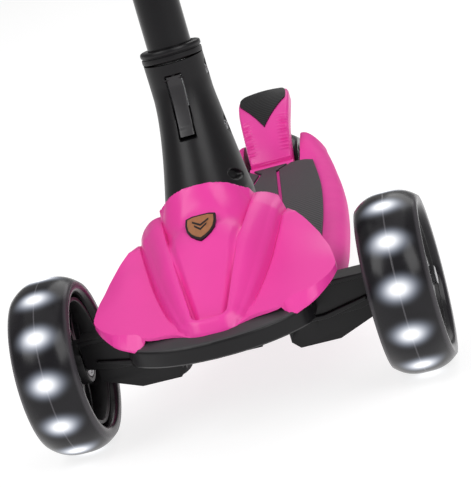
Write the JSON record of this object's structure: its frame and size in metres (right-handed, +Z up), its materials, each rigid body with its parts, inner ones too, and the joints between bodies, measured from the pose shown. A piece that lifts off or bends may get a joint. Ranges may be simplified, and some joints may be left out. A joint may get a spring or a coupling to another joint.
{
  "type": "kick scooter",
  "caption": "Child's lean-to-steer kick scooter: wide moulded deck, light-up front wheels, small rear wheel under a brake fender, and a lift-out T-bar with adjustable height.",
  "frame": {"origin": "on the ground under the middle of the scooter's box", "axes": "+Z up, -Y the way the rider faces, +X the rider's left"},
  "size_m": [0.2762, 0.528, 0.6874],
  "materials": {
    "pink_plastic": "hot pink, satin gloss, moulded",
    "black_nylon": "satin black moulded nylon",
    "grey_plastic": "dark grey moulded plastic",
    "grey_pad": "dark grey textured grip rubber",
    "black_rubber": "matt black rubber",
    "smoky_pu": "smoky translucent cast polyurethane",
    "light_ring": "clear ring that carries white lights",
    "steel": "zinc-plated steel",
    "black_anodised": "glossy black anodised aluminium tube",
    "copper_badge": "copper-coloured badge with a dark border"
  },
  "bodies": {
    "deck": {"kingpin_left": "steel", "kingpin_right": "steel", "centring_bush_left": "black_rubber", "centring_bush_right": "black_rubber", "grip_pad_left": "grey_pad", "grip_pad_right": "grey_pad", "neck_screw_upper_left": "steel", "neck_screw_upper_right": "steel", "neck_screw_lower_left": "steel", "neck_screw_lower_right": "steel", "rear_spacer_left": "steel", "rear_spacer_right": "steel", "rear_axle": "steel", "rear_axle_nut": "steel", "deck_shell": "pink_plastic", "centre_strip": "grey_pad", "chassis": "black_nylon", "front_bumper": "black_nylon", "front_cowl": "pink_plastic", "shield_badge": "copper_badge", "neck_front": "black_nylon", "neck_rear": "black_nylon", "neck_collar": "black_nylon", "socket_sleeve": "steel", "tab_pin": "steel", "fender_pin": "steel", "fender_spring": "steel"},
    "arm_left": {"steering_arm_left": "black_nylon", "front_axle_left": "steel"},
    "arm_right": {"steering_arm_right": "black_nylon", "front_axle_right": "steel"},
    "front_wheel_left": {"front_tyre_left": "smoky_pu", "front_hub_left": "black_nylon", "light_ring_left": "light_ring", "inner_bearing_left": "steel", "outer_bearing_left": "steel"},
    "front_wheel_right": {"front_tyre_right": "smoky_pu", "front_hub_right": "black_nylon", "light_ring_right": "light_ring", "inner_bearing_right": "steel", "outer_bearing_right": "steel"},
    "tie_rod": {"tie_rod": "black_nylon"},
    "rear_wheel": {"rear_tyre": "smoky_pu", "rear_hub": "black_nylon", "rear_bearing_left": "steel", "rear_bearing_right": "steel"},
    "brake_fender": {"brake_fender": "pink_plastic", "fender_pad": "black_nylon", "brake_shoe": "steel"},
    "release_tab": {"release_tab": "grey_plastic"},
    "t_bar_lower": {"lower_tube": "black_anodised", "height_clamp": "black_nylon", "clamp_bolt": "steel"},
    "clamp_lever": {"clamp_lever": "black_nylon"},
    "t_bar_upper": {"upper_tube": "black_anodised", "crossbar": "black_anodised", "handlebar_tee": "black_nylon", "grip_left": "black_rubber", "grip_right": "black_rubber"}
  },
  "joints": [
    {"name": "steer_left", "type": "hinge", "parent": "deck", "child": "arm_left", "pos_m": [0.048, -0.179, 0.049], "axis": [0, -0.2588, 0.9659], "range_deg": [-12, 12], "stiffness_Nm_per_rad": 6},
    {"name": "steer_right", "type": "hinge", "parent": "deck", "child": "arm_right", "pos_m": [-0.048, -0.179, 0.049], "axis": [0, -0.2588, 0.9659], "range_deg": [-12, 12], "stiffness_Nm_per_rad": 6},
    {"name": "tie_rod_slide", "type": "slide", "parent": "deck", "child": "tie_rod", "axis": [1, 0, 0], "range_m": [-0.005, 0.005]},
    {"name": "roll_front_left", "type": "hinge", "parent": "arm_left", "child": "front_wheel_left", "pos_m": [0.1174, -0.179, 0.06], "axis": [1, 0, 0], "continuous": true},
    {"name": "roll_front_right", "type": "hinge", "parent": "arm_right", "child": "front_wheel_right", "pos_m": [-0.1174, -0.179, 0.06], "axis": [1, 0, 0], "continuous": true},
    {"name": "roll_rear", "type": "hinge", "parent": "deck", "child": "rear_wheel", "pos_m": [0, 0.219, 0.045], "axis": [1, 0, 0], "continuous": true},
    {"name": "brake_press", "type": "hinge", "parent": "deck", "child": "brake_fender", "pos_m": [0, 0.173, 0.072], "axis": [1, 0, 0], "range_deg": [-5, 0], "stiffness_Nm_per_rad": 0.8, "springref_deg": 28.65},
    {"name": "tab_press", "type": "hinge", "parent": "deck", "child": "release_tab", "pos_m": [0, -0.1275, 0.219], "axis": [1, 0, 0], "range_deg": [0, 5], "stiffness_Nm_per_rad": 0.1, "springref_deg": -5.73},
    {"name": "t_bar_lift", "type": "slide", "parent": "deck", "child": "t_bar_lower", "axis": [0, 0.0698, 0.9976], "range_m": [0, 0.097]},
    {"name": "height_slide", "type": "slide", "parent": "t_bar_lower", "child": "t_bar_upper", "axis": [0, 0.0698, 0.9976], "range_m": [-0.1, 0.12]},
    {"name": "lever_open", "type": "hinge", "parent": "t_bar_lower", "child": "clamp_lever", "pos_m": [0.012, -0.06573, 0.46409], "axis": [0, 0.0698, 0.9976], "range_deg": [0, 90]}
  ],
  "couplings": [
    {"joint": "steer_right", "follows": "steer_left", "ratio": 1},
    {"joint": "tie_rod_slide", "follows": "steer_left", "m_per_rad": -0.02307}
  ]
}
